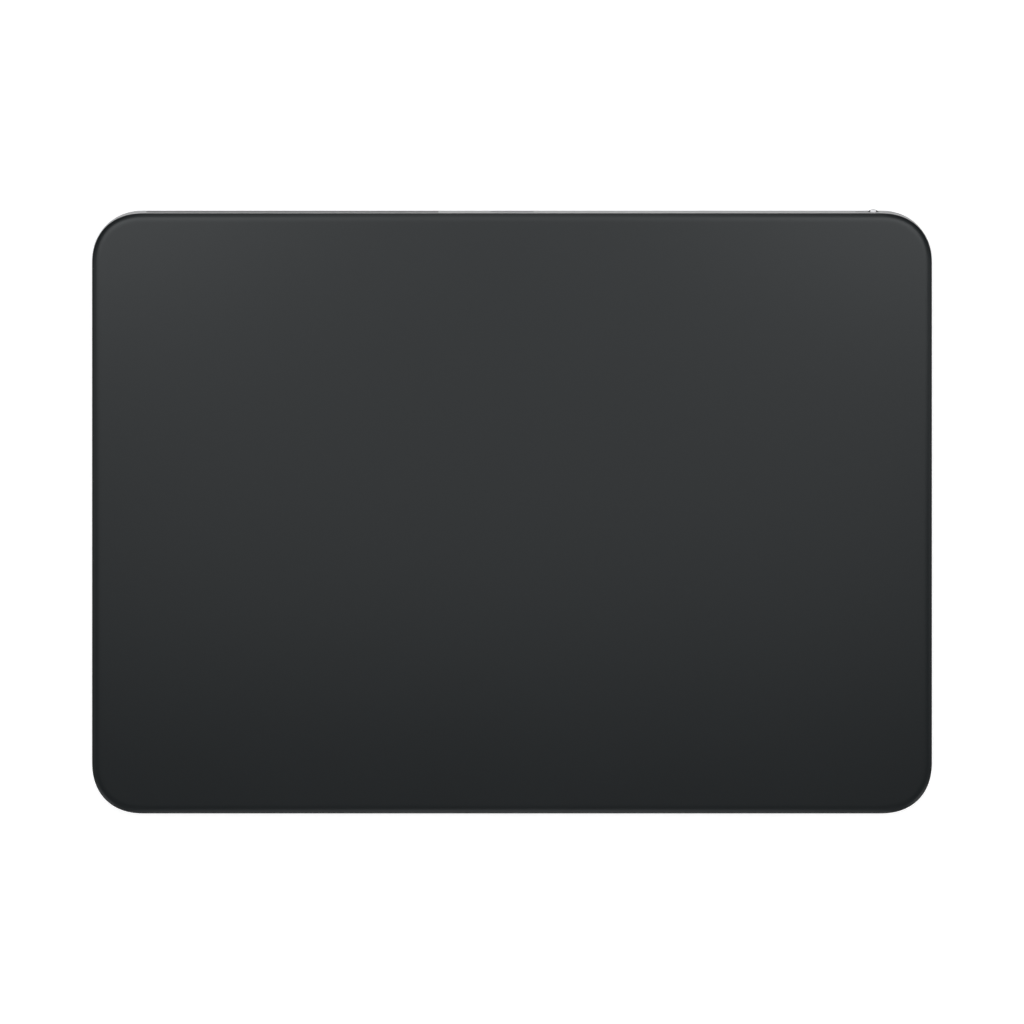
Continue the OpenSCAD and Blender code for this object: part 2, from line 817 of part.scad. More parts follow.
module battery_cell() {
    color("#3d4043") on_slope() {
        translate([0, (battery_front + battery_back) / 2, -battery_top - battery_t]) {
            linear_extrude(battery_t) round_rect(battery_w, battery_l, battery_r);
        }
        block(0, battery_w - 2 * battery_r, battery_back - over, battery_back + terrace_l,
            battery_top, battery_top + terrace_t);
    }
}

module battery_board() {
    top = battery_top + terrace_t;
    color("#215a3f") on_slope() {
        block(conn_xs[1], battery_board_w, battery_back + battery_board_gap,
            battery_back + terrace_l - battery_board_gap, top, top + battery_board_t);
    }
}

module battery_tape() {
    color("#d8d8d4") on_slope() {
        for (side = [-1, 1]) {
            block(side * battery_w / 3, tape_w, battery_front + tape_end, battery_back - tape_end,
                mid_under, battery_top);
        }
    }
}

// Upright end of a flat cable, from a given depth down to its connector
module cable_tail(x, top) {
    block(x, cable_w, conn_y - cable_t / 2, conn_y + cable_t / 2, top, conn_top);
}

module battery_cable() {
    top = battery_top + terrace_t + battery_board_t;
    start = battery_back + 3 * battery_board_gap;
    color("#b0762c") on_slope() {
        block(conn_xs[1], cable_w, start, conn_y + cable_t / 2, top, top + cable_t);
        cable_tail(conn_xs[1], top);
    }
}

module sensor_cable() {
    top = glass_t + sensor_t;
    color("#b0762c") on_slope() {
        block(conn_xs[2], cable_w, conn_y - bond_l, conn_y + cable_t / 2, top, top + cable_t);
        cable_tail(conn_xs[2], top);
    }
}

// Runs under the mid plate, between the strips of battery tape
module haptic_cable() {
    color("#b0762c") on_slope() {
        block(conn_xs[3], cable_w, haptic_back, conn_y + cable_t / 2, mid_under, cable_under);
        cable_tail(conn_xs[3], mid_under);
    }
}

module haptic_frame() {
    inner = mid_under + haptic_wall;
    color("#a4a7a9") on_slope() difference() {
        union() {
            block(0, haptic_w, haptic_back - haptic_l, haptic_back, mid_under, mid_under + haptic_t);
            block(0, haptic_w + 2 * ear_w, haptic_mid - ear_l / 2, haptic_mid + ear_l / 2, mid_under, inner);
        }
        block(0, haptic_w - 2 * haptic_wall, haptic_back - haptic_l + haptic_wall,
            haptic_back - haptic_wall, inner, mid_under + haptic_t + over);
        for (side = [-1, 1]) {
            translate([side * ear_x, haptic_mid, -inner - over]) {
                cylinder(r = screw_r, h = haptic_wall + 2 * over);
            }
        }
    }
}

module haptic_screws() {
    color("#8d9092") on_slope() {
        for (side = [-1, 1]) {
            translate([side * ear_x, haptic_mid, -mid_under - haptic_wall - screw_head_t]) {
                cylinder(r = screw_head_r, h = screw_head_t);
                cylinder(r = screw_r - screw_fit, h = screw_head_t + haptic_wall);
            }
        }
    }
}

module haptic_coils() {
    coil_l = mass_l - 2 * coil_edge;
    color("#b87333") on_slope() {
        for (side = [-1, 1]) {
            translate([side * coil_x, haptic_mid, -mid_under - haptic_wall - coil_t]) {
                linear_extrude(coil_t) difference() {
                    pill(coil_w, coil_l);
                    pill(coil_w - 2 * coil_band, coil_l - 2 * coil_band);
                }
            }
        }
    }
}

magnet_w = coil_w - 2 * magnet_side;
magnet_l = mass_l / 2 - 2 * magnet_edge;

// Two magnets under each coil, or with a clearance the pockets that hold them
module magnet_blocks(gap, rise) {
    for (side = [-1, 1], half = [-1, 1]) {
        y = haptic_mid + half * mass_l / 4;
        block(side * coil_x, magnet_w + 2 * gap, y - magnet_l / 2 - gap, y + magnet_l / 2 + gap,
            mass_top - rise, mass_top + magnet_t + gap);
    }
}

module haptic_mass() {
    color("#6f7275") on_slope() difference() {
        block(0, mass_w, haptic_mid - mass_l / 2, haptic_mid + mass_l / 2, mass_top, mass_bottom);
        magnet_blocks(magnet_gap, over);
    }
}

module haptic_magnets() {
    color("#c9cbcd") on_slope() magnet_blocks(0, 0);
}

// Folded leaf at each end of the mass: a foot on the frame, a slanting leaf and a pad that meets the mass
module haptic_springs() {
    reach = spring_l - haptic_travel - spring_gap;
    span = mass_l - spring_end;
    lean_deg = atan((reach - spring_t) / span);
    leaf = span / cos(lean_deg);
    color("#d0d2d3") on_slope() {
        for (side = [-1, 1]) {
            translate([side * (haptic_w / 2 - haptic_wall), haptic_mid, -mass_bottom]) {
                linear_extrude(mass_bottom - mass_top) mirror([side > 0 ? 1 : 0, 0]) {
                    translate([0, -mass_l / 2]) square([spring_t, spring_end]);
                    translate([reach - spring_t, mass_l / 2 - spring_end]) square([spring_t, spring_end]);
                    translate([reach / 2, 0]) rotate(-lean_deg) square([spring_t, leaf], center = true);
                }
            }
        }
    }
}

module foot(c) {
    color("#4a4c4e") at_foot(c) rotate_extrude() {
        square([foot_d / 2 - foot_round, foot_t]);
        translate([0, foot_round]) square([foot_d / 2, foot_t - foot_round]);
        translate([foot_d / 2 - foot_round, foot_round]) circle(foot_round);
    }
}

module foot_flange(c) {
    color("#9a9c9e") at_foot(c) {
        translate([0, 0, foot_t]) cylinder(d = foot_d, h = flange_z - foot_t);
        translate([0, 0, flange_z]) cylinder(d = flange_d, h = foot_flange_t);
    }
}

module foot_pad(c) {
    color("#cfd3d6") at_foot(c) translate([0, 0, pad_z]) cylinder(d = pad_d, h = pad_t);
}

// Spring-steel plate with a tongue cut free on three sides over the foot
module flexure(c) {
    tongue_l = flexure_l - 2 * flexure_slit - flexure_bridge;
    color("#b3b6b8") at_foot(c) translate([0, 0, flexure_z]) linear_extrude(flexure_t) difference() {
        round_rect(flexure_w, flexure_l, flexure_r);
        difference() {
            translate([0, flexure_slit]) round_rect(flexure_tongue_w + 2 * flexure_slit, tongue_l, slit_r);
            round_rect(flexure_tongue_w, tongue_l, tongue_r);
            translate([-flexure_w / 2, -flexure_l]) square([flexure_w, flexure_l - flexure_l / 4]);
        }
        for (side = [-1, 1]) {
            translate([side * flexure_pitch / 2, 0]) circle(screw_r);
        }
    }
}

module strain_gauges() {
    color("#c98f3a") {
        for (c = corners) {
            at_foot(c) translate([0, -flexure_l / 4, gauge_z]) linear_extrude(gauge_t) {
                square([gauge_w, gauge_l], center = true);
            }
        }
    }
}

module flexure_posts() {
    color("#a9acae") difference() {
        under_mid_plate() {
            for (c = corners, side = [-1, 1]) {
                at_foot(c) translate([side * flexure_pitch / 2, 0, gauge_z]) cylinder(d = post_d, h = deep);
            }
        }
        for (c = corners, side = [-1, 1]) {
            at_foot(c) translate([side * flexure_pitch / 2, 0, gauge_z - over]) {
                cylinder(r = screw_r, h = thread_l + over);
            }
        }
    }
}

module flexure_screws() {
    color("#8d9092") {
        for (c = corners, side = [-1, 1]) {
            at_foot(c) translate([side * flexure_pitch / 2, 0, flexure_z - screw_head_t]) {
                cylinder(r = screw_head_r, h = screw_head_t);
                cylinder(r = screw_r, h = screw_head_t + flexure_t + thread_l);
            }
        }
    }
}

// Flat cable under the mid plate from the front gauge past the rear gauge to the logic board
module force_cable(side) {
    x = side * (body_w / 2 - foot_inset);
    conn_x = side < 0 ? conn_xs[0] : conn_xs[4];
    front_s = foot_s([side, -1]);
    branch = abs(x - conn_x) + cable_w;
    color("#b0762c") on_slope() {
        block(x, cable_w, front_s - flexure_l / 4, conn_y + cable_w / 2, mid_under, cable_under);
        block((x + conn_x) / 2, branch, conn_y - cable_w / 2, conn_y + cable_w / 2, mid_under, cable_under);
        cable_tail(conn_x, mid_under);
    }
    // Tails down to the two gauges, cut off where the gauges start
    color("#b0762c") difference() {
        on_slope() {
            for (end = [-1, 1]) {
                s = foot_s([side, end]) - flexure_l / 4;
                block(x, cable_w, s, s + cable_t, mid_under, deep);
            }
        }
        base_slab(0, -deep, gauge_z + gauge_t);
    }
}

touch_glass();
glass_seal();
touch_sensor();
mid_plate();
case();
base_seal();
base_plate();
antenna_window();
antenna_board();
antenna_strip();
logic_board();
shield_can();
controller_chips();
board_connectors();
board_posts();
board_screws();
port_shell();
port_tongue();
port_contacts();
power_switch();
switch_lever();
switch_housing();
switch_board();
switch_screw();
switch_cable();
battery_cell();
battery_board();
battery_tape();
battery_cable();
sensor_cable();
haptic_frame();
haptic_coils();
haptic_mass();
haptic_magnets();
haptic_springs();
haptic_screws();
haptic_cable();
foot(corners[0]);  // front_left_foot
foot(corners[1]);  // front_right_foot
foot(corners[2]);  // rear_left_foot
foot(corners[3]);  // rear_right_foot
foot_flange(corners[0]);  // front_left_flange
foot_flange(corners[1]);  // front_right_flange
foot_flange(corners[2]);  // rear_left_flange
foot_flange(corners[3]);  // rear_right_flange
foot_pad(corners[0]);  // front_left_pad
foot_pad(corners[1]);  // front_right_pad
foot_pad(corners[2]);  // rear_left_pad
foot_pad(corners[3]);  // rear_right_pad
flexure(corners[0]);  // front_left_flexure
flexure(corners[1]);  // front_right_flexure
flexure(corners[2]);  // rear_left_flexure
flexure(corners[3]);  // rear_right_flexure
strain_gauges();
flexure_posts();
flexure_screws();
force_cable(-1);  // left_force_cable
force_cable(1);  // right_force_cable
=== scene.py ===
import json
import math
import bpy
from mathutils import Matrix, Vector


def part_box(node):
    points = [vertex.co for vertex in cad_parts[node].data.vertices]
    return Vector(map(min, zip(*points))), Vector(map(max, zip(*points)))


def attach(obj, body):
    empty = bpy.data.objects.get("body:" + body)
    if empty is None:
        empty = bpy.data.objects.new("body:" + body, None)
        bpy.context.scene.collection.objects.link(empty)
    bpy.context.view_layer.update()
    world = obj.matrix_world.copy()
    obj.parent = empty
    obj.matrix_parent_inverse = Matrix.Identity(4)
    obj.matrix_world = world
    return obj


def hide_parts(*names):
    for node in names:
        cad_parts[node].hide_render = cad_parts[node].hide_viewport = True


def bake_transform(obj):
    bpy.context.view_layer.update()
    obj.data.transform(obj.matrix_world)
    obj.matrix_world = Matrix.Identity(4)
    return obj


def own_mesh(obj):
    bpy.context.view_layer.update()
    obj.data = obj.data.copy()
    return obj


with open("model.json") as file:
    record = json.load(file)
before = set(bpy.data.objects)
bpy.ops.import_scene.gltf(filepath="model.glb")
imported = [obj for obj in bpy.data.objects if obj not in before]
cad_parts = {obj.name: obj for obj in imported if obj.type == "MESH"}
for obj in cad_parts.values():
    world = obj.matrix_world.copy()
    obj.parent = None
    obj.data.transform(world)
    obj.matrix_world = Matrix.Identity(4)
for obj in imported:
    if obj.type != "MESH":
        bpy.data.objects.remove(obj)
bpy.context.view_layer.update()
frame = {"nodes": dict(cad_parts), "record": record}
nodes = frame["nodes"]
slotOf = {part["node"]: part["material_slot"] for part in frame["record"]["subparts"]}
corners = ("front_left", "front_right", "rear_left", "rear_right")
mm = 0.001
print("frame loaded,", len(nodes), "nodes")

scene = bpy.context.scene
scene.view_settings.view_transform = "Standard"

measure = {
    "weld": 0.001 * mm,  # points closer than this become one
    "flat": 0.3,  # degrees between faces that become one
    "level": 0.01 * mm,  # points closer in height than this lie level
    "looksUp": 0.5,  # a face looks up if its normal is longer than this along z
    "upright": 0.9999,  # and straight up or down past this
}

# the glass leans towards the user by this angle, read from its largest face that looks up
upFaces = [face for face in nodes["touch_glass"].data.polygons if face.normal.z > measure["looksUp"]]
topFace = max(upFaces, key=lambda face: face.area)
tilt = math.atan2(-topFace.normal.y, topFace.normal.z)
slope = Matrix.Rotation(tilt, 4, "X")


# mesh helpers

def slopeBox(node):
    # box of a node in the frame of the leaning glass
    flat = [slope.inverted() @ v.co for v in nodes[node].data.vertices]
    low = Vector([min(p[i] for p in flat) for i in range(3)])
    high = Vector([max(p[i] for p in flat) for i in range(3)])
    return low, high


def onlySelect(obj):
    if bpy.context.mode != "OBJECT":
        bpy.ops.object.mode_set(mode="OBJECT")
    bpy.ops.object.select_all(action="DESELECT")
    obj.select_set(True)
    bpy.context.view_layer.objects.active = obj


def freezePlace(obj):
    onlySelect(obj)
    bpy.ops.object.transform_apply(location=True, rotation=True, scale=True)


def clearPicks(obj, kind):
    # nothing stays selected, and the mesh can be read
    onlySelect(obj)
    bpy.ops.object.mode_set(mode="EDIT")
    bpy.ops.mesh.select_mode(type=kind)
    bpy.ops.mesh.select_all(action="DESELECT")
    bpy.ops.object.mode_set(mode="OBJECT")


def pickFaces(obj, test):
    clearPicks(obj, "FACE")
    for face in obj.data.polygons:
        face.select = test(face)
    bpy.ops.object.mode_set(mode="EDIT")


def pickEdges(obj, test):
    clearPicks(obj, "EDGE")
    verts = obj.data.vertices
    for edge in obj.data.edges:
        edge.select = test(*[verts[i].co for i in edge.vertices])
    bpy.ops.object.mode_set(mode="EDIT")


def applyModifier(obj, kind, **settings):
    onlySelect(obj)
    modifier = obj.modifiers.new(kind.lower(), kind)
    for key, value in settings.items():
        setattr(modifier, key, value)
    bpy.ops.object.modifier_apply(modifier=modifier.name)


def smoothShade(obj, degrees):
    onlySelect(obj)
    bpy.ops.object.shade_smooth_by_angle(angle=math.radians(degrees))


def copyPiece(source, name):
    # a free copy, without the marks that the frame put on its source
    obj = source.copy()
    obj.data = source.data.copy()
    obj.name = name
    for key in list(obj.keys()):
        del obj[key]
    scene.collection.objects.link(obj)
    obj.parent = None
    obj.matrix_world = Matrix.Identity(4)
    return obj


def mergeFacets(obj):
    # a copied node is loose triangles: they are joined, and flat faces made whole
    onlySelect(obj)
    bpy.ops.object.mode_set(mode="EDIT")
    bpy.ops.mesh.select_all(action="SELECT")
    bpy.ops.mesh.remove_doubles(threshold=measure["weld"])
    bpy.ops.mesh.customdata_custom_splitnormals_clear()
    bpy.ops.mesh.dissolve_limited(angle_limit=math.radians(measure["flat"]))
    bpy.ops.object.mode_set(mode="OBJECT")


def fillCylinder(name, low, high, steps):
    # upright cylinder that fills the box from low to high
    bpy.ops.object.select_all(action="DESELECT")
    bpy.ops.mesh.primitive_cylinder_add(
        vertices=steps, radius=(high.x - low.x) / 2, depth=high.z - low.z, location=(low + high) / 2)
    obj = bpy.context.active_object
    obj.name = name
    freezePlace(obj)
    return obj


def giveFinish(obj, finish):
    obj.data.materials.clear()
    obj.data.materials.append(materials[finish])


def standFor(obj, node, body):
    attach(obj, body)
    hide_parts(node)


# shader helpers

def addNode(tree, kind, values=None, **settings):
    # a value is a number, a vector, a colour, or a socket to link from
    node = tree.nodes.new(kind)
    for key, value in settings.items():
        setattr(node, key, value)
    for key, value in (values or {}).items():
        if isinstance(value, bpy.types.NodeSocket):
            tree.links.new(value, node.inputs[key])
        else:
            node.inputs[key].default_value = value
    return node


def calc(tree, operation, *values, **settings):
    inputs = dict(enumerate(values))
    return addNode(tree, "ShaderNodeMath", inputs, operation=operation, **settings).outputs[0]


def vectorCalc(tree, operation, *values):
    return addNode(tree, "ShaderNodeVectorMath", dict(enumerate(values)), operation=operation)


def splitAxes(tree, vector):
    return addNode(tree, "ShaderNodeSeparateXYZ", {0: vector}).outputs


def splitColour(tree, colour):
    return addNode(tree, "ShaderNodeSeparateColor", {0: colour}).outputs


def remap(tree, value, source=(0.0, 1.0), target=(0.0, 1.0), **settings):
    inputs = {
        "Value": value,
        "From Min": source[0], "From Max": source[1],
        "To Min": target[0], "To Max": target[1],
    }
    return addNode(tree, "ShaderNodeMapRange", inputs, **settings).outputs[0]


def pillReach(tree, along, across, core):
    # distance from the middle line of a long round-ended shape, whose half length is core
    beyond = calc(tree, "MAXIMUM", calc(tree, "SUBTRACT", calc(tree, "ABSOLUTE", along), core), 0.0)
    flat = addNode(tree, "ShaderNodeCombineXYZ", {"X": beyond, "Y": across})
    return vectorCalc(tree, "LENGTH", flat.outputs[0]).outputs["Value"]


def rgba(colour):
    return (*colour, 1)


def blendColour(tree, factor, first, second):
    # first and second are colours or sockets
    mix = addNode(tree, "ShaderNodeMix", {"Factor": factor}, data_type="RGBA")
    for name, colour in (("A", first), ("B", second)):
        socket = [s for s in mix.inputs if s.name == name and s.type == "RGBA"][0]
        if isinstance(colour, tuple):
            socket.default_value = rgba(colour)
        else:
            tree.links.new(colour, socket)
    return [s for s in mix.outputs if s.type == "RGBA"][0]


# camera and stage

photo = {
    "cameraHeight": 1.0,
    "frameWidth": 195.08 * mm,  # width of desk that the picture takes in
    "centre": (0.0 * mm, -0.115 * mm),
}


def makeCamera():
    bpy.ops.object.camera_add(location=(*photo["centre"], photo["cameraHeight"]), rotation=(0, 0, 0))
    cam = bpy.context.active_object
    cam.name = "camera"
    # the picture is taken from so far off that its lines of sight are parallel
    cam.data.type = "ORTHO"
    cam.data.ortho_scale = photo["frameWidth"]
    scene.camera = cam


stage = {
    "floorSize": 8.0,
    "floorDrop": 0.01 * mm,  # keeps the floor clear of the soles
    "floorColour": (0.72, 0.72, 0.72),
    "floorLift": 0.56,  # keeps the paper white in the picture
    "mirrorLift": 0.24,  # and in metal and glass, short of clipping there
    "worldColour": (1, 1, 1),
    "worldLow": 0.95,  # white horizon
    "worldHigh": 0.38,
    "worldRamp": (0.02, 0.16),  # heights between which the one turns into the other
}


def makeFloor():
    bpy.ops.object.select_all(action="DESELECT")
    bpy.ops.mesh.primitive_plane_add(size=stage["floorSize"], location=(0, 0, -stage["floorDrop"]))
    floor = bpy.context.active_object
    floor.name = "floor"
    freezePlace(floor)
    mat = bpy.data.materials.new("paperFloor")
    mat.use_nodes = True
    tree = mat.node_tree
    tree.nodes.clear()
    path = addNode(tree, "ShaderNodeLightPath").outputs
    mirrored = calc(tree, "MAXIMUM", path["Is Glossy Ray"], path["Is Transmission Ray"])
    mirrorLift = calc(tree, "MULTIPLY", mirrored, stage["mirrorLift"])
    lift = calc(tree, "MULTIPLY_ADD", path["Is Camera Ray"], stage["floorLift"], mirrorLift)
    paper = addNode(tree, "ShaderNodeBsdfDiffuse", {"Color": rgba(stage["floorColour"])})
    glow = addNode(tree, "ShaderNodeEmission", {"Strength": lift})
    both = addNode(tree, "ShaderNodeAddShader", {0: paper.outputs[0], 1: glow.outputs[0]})
    # from below the floor is clear, so the underside can be looked at
    side = addNode(tree, "ShaderNodeNewGeometry")
    under = calc(tree, "MAXIMUM", side.outputs["Backfacing"], path["Is Shadow Ray"])
    clear = addNode(tree, "ShaderNodeBsdfTransparent")
    mix = addNode(tree, "ShaderNodeMixShader", {"Fac": under, 1: both.outputs[0], 2: clear.outputs[0]})
    addNode(tree, "ShaderNodeOutputMaterial", {"Surface": mix.outputs[0]})
    floor.data.materials.append(mat)


lights = {
    # name: place, size, power; each faces straight down, and the fill faces up
    "midBox": ((0, 0.09, 0.25), (0.10, 0.10), 0.058),
    "leftBox": ((-0.10, 0.08, 0.25), (0.10, 0.10), 0.118),
    "rightBox": ((0.10, 0.08, 0.25), (0.10, 0.10), 0.118),
    "frontRow": ((0, 0.0125, 0.25), (0.50, 0.045), 0.072),
    "frontCore": ((0, -0.0325, 0.25), (0.20, 0.045), 0.036),
    "leftWing": ((-0.325, -0.01, 0.25), (0.15, 0.12), 0.055),
    "rightWing": ((0.325, -0.01, 0.25), (0.15, 0.12), 0.055),
    "rearPanel": ((0, 0.31, 0.25), (0.14, 0.34), 0.203),
    "frontPanel": ((0, -0.33, 0.25), (0.12, 0.30), 0.137),
    "frontStrip": ((0, -0.54, 0.25), (0.30, 0.12), 0.558),
    "leftCorner": ((-0.35, -0.33, 0.25), (0.24, 0.24), 0.42),
    "rightCorner": ((0.35, -0.33, 0.25), (0.24, 0.24), 0.42),
    "underFill": ((0, 0, -0.6), (0.9, 0.9), 3.2),
}


def makeLights():
    for name, (place, size, power) in lights.items():
        bpy.ops.object.light_add(type="AREA", location=place)
        lamp = bpy.context.active_object
        lamp.name = name
        lamp.data.shape = "RECTANGLE"
        lamp.data.size, lamp.data.size_y = size
        lamp.data.energy = power
        if place[2] < 0:
            lamp.rotation_euler = (math.pi, 0, 0)
        lamp.visible_camera = False


def makeWorld():
    world = bpy.data.worlds.new("studio")
    scene.world = world
    world.use_nodes = True
    tree = world.node_tree
    background = tree.nodes["Background"]
    background.inputs["Color"].default_value = rgba(stage["worldColour"])
    where = addNode(tree, "ShaderNodeTexCoord")
    height = splitAxes(tree, where.outputs["Generated"])["Z"]
    fall = remap(tree, height, stage["worldRamp"], (stage["worldLow"], stage["worldHigh"]),
                 interpolation_type="SMOOTHSTEP")
    # past the floor's edge and under it the picture stays white
    path = addNode(tree, "ShaderNodeLightPath")
    shown = calc(tree, "MAXIMUM", fall, path.outputs["Is Camera Ray"])
    tree.links.new(shown, background.inputs["Strength"])


makeCamera()
makeFloor()
makeLights()
makeWorld()
print("camera, floor and lights set")


# shared effects

def newGroup(name, inputs, outputs):
    # inputs are numbers and vectors, and outputs are numbers
    group = bpy.data.node_groups.new(name, "ShaderNodeTree")
    for label, value in inputs.items():
        kind = "NodeSocketFloat" if isinstance(value, float) else "NodeSocketVector"
        group.interface.new_socket(label, in_out="INPUT", socket_type=kind).default_value = value
    for label in outputs:
        group.interface.new_socket(label, in_out="OUTPUT", socket_type="NodeSocketFloat")
    return group, group.nodes.new("NodeGroupInput").outputs, group.nodes.new("NodeGroupOutput").inputs


grainNoise = {
    "fine": {"Detail": 2.0, "Roughness": 0.6},
    "slow": {"Detail": 4.0, "Roughness": 0.55},
    "fleckRange": (0.42, 0.62),
    "cloudRange": (0.3, 0.7),
}


def makeGrainGroup():
    # fine even grain, with a slow cloud over it
    group, given, made = newGroup(
        "fineGrain", {"Vector": (0, 0, 0), "Grain": 4000.0, "Cloud": 40.0}, ("Height", "Cloud", "Fleck"))
    fineInputs = {"Vector": given["Vector"], "Scale": given["Grain"], **grainNoise["fine"]}
    fine = addNode(group, "ShaderNodeTexNoise", fineInputs).outputs["Fac"]
    slowInputs = {"Vector": given["Vector"], "Scale": given["Cloud"], **grainNoise["slow"]}
    slow = addNode(group, "ShaderNodeTexNoise", slowInputs).outputs["Fac"]
    group.links.new(fine, made["Height"])
    group.links.new(remap(group, slow, grainNoise["cloudRange"]), made["Cloud"])
    group.links.new(remap(group, fine, grainNoise["fleckRange"]), made["Fleck"])
    return group


rubNoise = {
    "noise": {"Detail": 5.0, "Roughness": 0.7},
    "patchRange": (0.45, 0.65),
}


def makeRubGroup():
    # mask that grows towards a level, broken up by noise: edges that rub on the desk
    group, given, made = newGroup(
        "edgeRub", {"Vector": (0, 0, 0), "Level": 0.001, "Fade": 0.001, "Scale": 900.0}, ("Mask",))
    away = calc(group, "SUBTRACT", splitAxes(group, given["Vector"])["Z"], given["Level"])
    near = calc(group, "SUBTRACT", 1.0, calc(group, "DIVIDE", away, given["Fade"]), use_clamp=True)
    noiseInputs = {"Vector": given["Vector"], "Scale": given["Scale"], **rubNoise["noise"]}
    noise = addNode(group, "ShaderNodeTexNoise", noiseInputs).outputs["Fac"]
    patch = remap(group, noise, rubNoise["patchRange"])
    group.links.new(calc(group, "MULTIPLY", near, patch), made["Mask"])
    return group


dustLimit = 0.8  # cells with a random tone over this hold a speck


def makeDustGroup():
    # sparse small specks
    group, given, made = newGroup(
        "dustSpecks", {"Vector": (0, 0, 0), "Scale": 300.0, "Size": 0.06}, ("Mask",))
    cellInputs = {"Vector": given["Vector"], "Scale": given["Scale"]}
    cells = addNode(group, "ShaderNodeTexVoronoi", cellInputs, feature="F1")
    speck = calc(group, "LESS_THAN", cells.outputs["Distance"], given["Size"])
    some = calc(group, "GREATER_THAN", splitColour(group, cells.outputs["Color"])[0], dustLimit)
    group.links.new(calc(group, "MULTIPLY", speck, some), made["Mask"])
    return group


stripeForm = {
    "noise": {"Scale": 400.0, "Detail": 2.0},
    "softness": 0.06,  # of a line's far edge, as a share of the pitch
}


def makeStripeGroup():
    # even lines across an axis: windings, flat conductors, rolling marks
    group, given, made = newGroup(
        "evenStripes",
        {"Vector": (0, 0, 0), "Axis": (1, 0, 0), "Pitch": 0.001, "Share": 0.5, "Waver": 0.0}, ("Mask",))
    along = vectorCalc(group, "DOT_PRODUCT", given["Vector"], given["Axis"]).outputs["Value"]
    count = calc(group, "DIVIDE", along, given["Pitch"])
    noise = addNode(group, "ShaderNodeTexNoise", {"Vector": given["Vector"], **stripeForm["noise"]})
    shifted = calc(group, "MULTIPLY_ADD", noise.outputs["Fac"], given["Waver"], count)
    end = calc(group, "ADD", given["Share"], stripeForm["softness"])
    mask = remap(group, calc(group, "FRACT", shifted), (given["Share"], end), (1.0, 0.0))
    group.links.new(mask, made["Mask"])
    return group


traceForm = {
    "turnLimit": 0.5,  # patches with a random tone over this run along
    "bareLimit": 0.3,  # and those under this hold no conductors
    "lineShare": 0.4,
    "padScale": 3.0,  # pads are this much finer than the patches
    "padRandomness": 0.35,
    "padLimit": 0.82,  # spots with a random tone over this are pads
}


def makeTraceGroup():
    # conductors under a board's lacquer, in patches that run across or along, and bare pads
    group, given, made = newGroup(
        "boardTraces", {"Vector": (0, 0, 0), "Patch": 300.0, "Pitch": 0.0005, "Pad": 0.2}, ("Trace", "Pads"))
    cellInputs = {"Vector": given["Vector"], "Scale": given["Patch"]}
    cells = addNode(group, "ShaderNodeTexVoronoi", cellInputs, feature="F1", distance="CHEBYCHEV")
    tone = splitColour(group, cells.outputs["Color"])
    turn = calc(group, "GREATER_THAN", tone[0], traceForm["turnLimit"])
    bare = calc(group, "GREATER_THAN", tone[1], traceForm["bareLimit"])
    lineInputs = {"Vector": given["Vector"], "Pitch": given["Pitch"], "Share": traceForm["lineShare"]}
    lines = []
    for axis in ((1, 0, 0), (0, 1, 0)):
        stripes = addNode(group, "ShaderNodeGroup", {"Axis": axis, **lineInputs}, node_tree=evenStripes)
        lines.append(stripes.outputs["Mask"])
    pickInputs = {"Factor": turn, "A": lines[0], "B": lines[1]}
    picked = addNode(group, "ShaderNodeMix", pickInputs, data_type="FLOAT").outputs[0]
    finer = calc(group, "MULTIPLY", given["Patch"], traceForm["padScale"])
    spotInputs = {"Vector": given["Vector"], "Scale": finer, "Randomness": traceForm["padRandomness"]}
    spots = addNode(group, "ShaderNodeTexVoronoi", spotInputs, feature="F1")
    spot = calc(group, "LESS_THAN", spots.outputs["Distance"], given["Pad"])
    few = calc(group, "GREATER_THAN", splitColour(group, spots.outputs["Color"])[0], traceForm["padLimit"])
    group.links.new(calc(group, "MULTIPLY", picked, bare), made["Trace"])
    group.links.new(calc(group, "MULTIPLY", spot, few), made["Pads"])
    return group


def makeOpeningShadeGroup():
    # mask of a long round-ended opening, cut through a leaning wall, where shade is painted
    group, given, made = newGroup(
        "openingShadeMask",
        {"Vector": (0, 0, 0), "Lean": 0.0, "Centre": (0, 0, 0), "Core": 0.001, "Radius": 0.001}, ("Mask",))
    leanInputs = {"Vector": given["Vector"], "Angle": given["Lean"]}
    leaned = addNode(group, "ShaderNodeVectorRotate", leanInputs, rotation_type="X_AXIS")
    off = vectorCalc(group, "SUBTRACT", leaned.outputs[0], given["Centre"])
    axes = splitAxes(group, off.outputs["Vector"])
    reach = pillReach(group, axes["X"], axes["Z"], given["Core"])
    group.links.new(calc(group, "LESS_THAN", reach, given["Radius"]), made["Mask"])
    return group


fineGrain = makeGrainGroup()
edgeRub = makeRubGroup()
dustSpecks = makeDustGroup()
evenStripes = makeStripeGroup()
boardTraces = makeTraceGroup()
openingShadeMask = makeOpeningShadeGroup()


# finishes

def placeGroup(tree, group, where, values):
    # each value goes to the input of its name, and values with other names are left
    node = addNode(tree, "ShaderNodeGroup", node_tree=group)
    tree.links.new(where.outputs["Object"], node.inputs["Vector"])
    for key, value in values.items():
        if key.capitalize() in node.inputs:
            node.inputs[key.capitalize()].default_value = value
    return node


def sliderAndShadeMask(tree, where, slider):
    # what lies behind a level, which is black slider, and what lies beside the ridge, which is painted shade
    # on the knob's shoulders
    axes = splitAxes(tree, where.outputs["Object"])
    behind = calc(tree, "LESS_THAN", axes["Y"], slider["level"])
    side = calc(tree, "ABSOLUTE", calc(tree, "SUBTRACT", axes["X"], slider["middle"]))
    return calc(tree, "MAXIMUM", behind, calc(tree, "GREATER_THAN", side, slider["half"]))


usual = {
    # for each finish that doesn't say otherwise
    "metallic": 0.0,
    "ior": 1.5,
    "shine": 0.5,
    "tint": (1, 1, 1),
}


